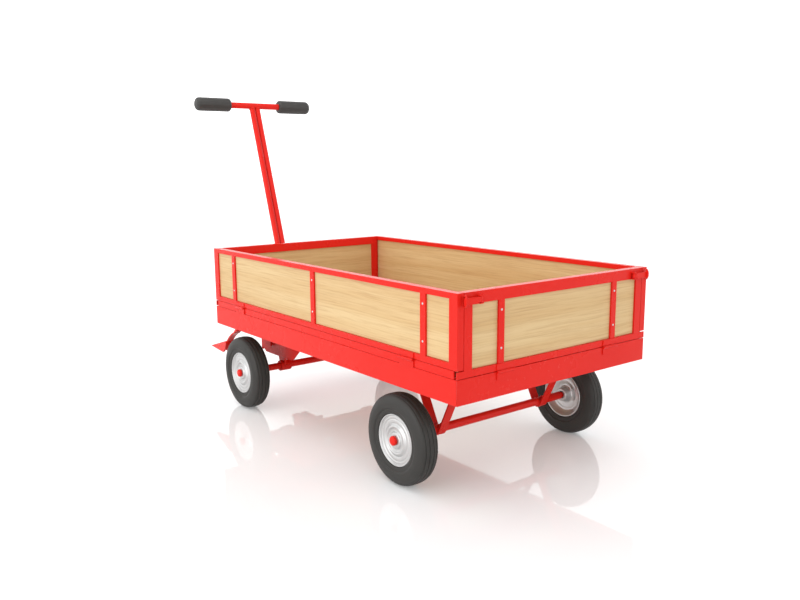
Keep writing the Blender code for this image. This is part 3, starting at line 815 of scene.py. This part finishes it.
@dataclass
class Drawbar:
    """Twin-tube shaft, crossbar and two foam grips."""

    lean: float = math.radians(17.9)
    long: float = 0.9205
    tube_r: float = 0.0100
    tube_x: float = 0.01125
    cross_r: float = 0.0115
    grip_r: float = 0.0250
    bore_r: float = 0.0118
    body: str = "drawbar"

    def build(self) -> None:
        """Builds the shaft from the clevis pin up, then the crossbar and grips."""
        low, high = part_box("drawbar_pin")
        foot = (low + high) / 2
        run = Vector((0, math.sin(self.lean), math.cos(self.lean)))
        top = foot + run * self.long
        shaft = Form()
        for side in Side:
            aside = Vector((side.value * self.tube_x, 0, 0))
            shaft.bar(foot + aside - run * 0.015, top + aside, self.tube_r, 48)
        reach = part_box("drawbar")[1].x
        shaft.bar(Vector((-reach, top.y, top.z)), Vector((reach, top.y, top.z)), self.cross_r, 48)
        shaft.bar(Vector((-0.018, foot.y, foot.z)), Vector((0.018, foot.y, foot.z)), 0.0090, 48)
        for share in (0.25, 0.60):
            spot, half = foot + run * self.long * share, Vector((0.004, 0, 0))
            shaft.bar(spot - half, spot + half, 0.005, 16)
        shaft.put("painted_drawbar", PAINT, self.body, ["drawbar"])
        welds = Form()
        for side in Side:
            centre = top + Vector((side.value * self.tube_x, 0, 0)) - run * (self.cross_r + 0.0006)
            welds.bead(self._ring(centre, run, self.tube_r + 0.0004), 0.0014)
        welds.put("painted_drawbar_welds", PAINT, self.body)
        for side in Side:
            self._grip(side, top)

    @staticmethod
    def _ring(centre: Vector, axis: Vector, radius: float) -> list[Vector]:
        """Loop of points round an axis."""
        frame = axis.to_track_quat("Z", "Y").to_matrix()
        turns = [math.tau * step / 36 for step in range(36)]
        return [centre + frame @ Vector((radius * math.cos(t), radius * math.sin(t), 0)) for t in turns]

    def _grip(self, side: Side, top: Vector) -> None:
        """Builds one grip, round at both ends, with its bore round the crossbar."""
        node = "grip_" + side.word
        low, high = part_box(node)
        inner = min(abs(low.x), abs(high.x))
        long = high.x - low.x
        r, bore = self.grip_r, self.bore_r
        profile = [
            (0, bore), (0, r - 0.0075), (0.0008, r - 0.0045), (0.0030, r - 0.0018), (0.0065, r - 0.0004),
            (0.0110, r - 0.0001), (long - 0.0150, r - 0.0001), (long - 0.0090, r - 0.0010), (long - 0.0045, r - 0.0036),
            (long - 0.0014, r - 0.0080), (long, r - 0.0130), (long, 0), (long - 0.0116, 0), (long - 0.0116, bore),
        ]
        start = Vector((side.value * inner, top.y, top.z))
        form = Form().turned(profile, start, Vector((side.value, 0, 0)), 72)
        form.put("foam_" + node, GripFoam(), self.body, [node], origin=start)


@dataclass
class Brake:
    """Foot brake lever over the front left tyre."""

    edge: float = 0.0010

    def build(self) -> None:
        """Dresses the lever."""
        Form.of_part("brake_lever").put("painted_brake_lever", PAINT, "brake", ["brake_lever"], self.edge)


@dataclass
class Studio:
    """Pale floor, soft lights and the camera."""

    floor_half: float = 60.0
    wall_tall: float = 40.0
    ambient: float = 0.80
    lens: float = 35.72
    heading: float = math.radians(38.0)
    dip: float = math.radians(9.92)
    roll: float = math.radians(-0.35)
    eye: tuple[float, float, float] = (-1.5163, -1.2864, 0.8188)

    def build(self) -> None:
        """Sets up everything that isn't part of the cart."""
        self._floor()
        self._backdrop()
        self._world()
        self._lights()
        self._camera()

    def _floor(self) -> None:
        """Wide pale floor with a faint sheen."""
        graph = Graph("studio_floor")
        cloud = graph.noise(graph.place(), 0.6, 2.0)
        material = graph.surface(
            Base_Color=graph.blend(cloud, (0.78, 0.78, 0.78), (0.77, 0.77, 0.77)),
            Roughness=cloud * 0.02 + 0.03, Specular_IOR_Level=0.32,
            Emission_Color=(1.0, 1.0, 1.0), Emission_Strength=0.14,
        )
        work = bmesh.new()
        bmesh.ops.create_grid(work, x_segments=2, y_segments=2, size=self.floor_half)
        self._stand("floor", work, material)

    @staticmethod
    def _stand(name: str, work: bmesh.types.BMesh, material: bpy.types.Material) -> None:
        """Makes a piece of the studio, which is no part of the cart.

        Args:
            name: The piece's name.
            work: Its shape, which is freed.
            material: Its finish.
        """
        mesh = bpy.data.meshes.new(name)
        work.to_mesh(mesh)
        work.free()
        mesh.materials.append(material)
        piece = bpy.data.objects.new(name, mesh)
        bpy.context.scene.collection.objects.link(piece)

    def _backdrop(self) -> None:
        """Round white wall far away from the cart."""
        graph = Graph("studio_backdrop")
        cloud = graph.noise(graph.place(), 0.05, 1.0)
        material = graph.surface(
            Base_Color=graph.blend(cloud, (0.60, 0.60, 0.60), (0.59, 0.59, 0.59)), Roughness=1.0,
            Specular_IOR_Level=0.0, Emission_Color=(1.0, 1.0, 1.0), Emission_Strength=0.95,
        )
        radius = self.floor_half - 2.0
        wall = [(-0.5, radius), (self.wall_tall, radius)]
        form = Form().turned(wall, Vector((0, 0, 0)), Vector((0, 0, 1)), 96, whole=False)
        self._stand("backdrop", form.work, material)

    def _world(self) -> None:
        """Even white surroundings."""
        world = bpy.data.worlds.new("studio")
        world.use_nodes = True
        background = world.node_tree.nodes["Background"]
        background.inputs["Color"].default_value = (1.0, 1.0, 1.0, 1.0)
        background.inputs["Strength"].default_value = self.ambient
        bpy.context.scene.world = world
        bpy.context.scene.view_settings.view_transform = "Standard"

    @staticmethod
    def _lights() -> None:
        """Large soft panels: one over the cart and one on its left."""
        for name, place, aim, size, power in (
            ("top_panel", (-1.0, 0.4, 4.5), (0.0, 0.0, 0.3), 4.0, 62.0),
            ("left_panel", (-4.5, -0.6, 1.8), (0.0, 0.0, 0.4), 3.0, 55.0),
        ):
            light = bpy.data.lights.new(name, "AREA")
            light.size = size
            light.energy = power
            lamp = bpy.data.objects.new(name, light)
            lamp.location = place
            lamp.rotation_euler = (Vector(aim) - Vector(place)).to_track_quat("-Z", "Y").to_euler()
            bpy.context.scene.collection.objects.link(lamp)

    def _camera(self) -> None:
        """Camera behind the left rear corner, a little above the boards."""
        camera = bpy.data.cameras.new("camera")
        camera.lens = self.lens
        camera.sensor_width = 36.0
        camera.clip_end = 300.0
        eye = bpy.data.objects.new("camera", camera)
        rear_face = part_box("skirt_rear")[0].y
        eye.location = (self.eye[0], self.eye[1] + rear_face, self.eye[2])
        look = Vector((
            math.sin(self.heading) * math.cos(self.dip),
            math.cos(self.heading) * math.cos(self.dip),
            -math.sin(self.dip),
        ))
        turn = look.to_track_quat("-Z", "Y").to_matrix() @ Matrix.Rotation(self.roll, 3, "Z")
        eye.rotation_euler = turn.to_euler()
        bpy.context.scene.collection.objects.link(eye)
        bpy.context.scene.camera = eye


def corners(bounds: object) -> list[list[float]]:
    """Lowest and highest corner of a box as plain lists."""
    low, high = bounds
    return [list(map(float, low)), list(map(float, high))]


def main() -> None:
    """Builds every sub-assembly in order."""
    logging.basicConfig(level=logging.INFO, format="%(name)s: %(message)s")
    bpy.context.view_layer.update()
    for assembly in (Chassis(), Boards(), Latches(), Undercarriage(), Wheels(), Drawbar(), Brake(), Studio()):
        LOG.info("building %s", type(assembly).__name__)
        assembly.build()


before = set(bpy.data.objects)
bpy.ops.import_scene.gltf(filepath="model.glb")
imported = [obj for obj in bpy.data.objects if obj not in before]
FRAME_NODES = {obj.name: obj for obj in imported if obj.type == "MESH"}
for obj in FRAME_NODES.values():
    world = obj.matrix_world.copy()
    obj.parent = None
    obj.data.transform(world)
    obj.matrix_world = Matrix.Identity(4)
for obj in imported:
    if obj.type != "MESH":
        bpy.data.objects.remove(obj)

if __name__ == "__main__":
    main()
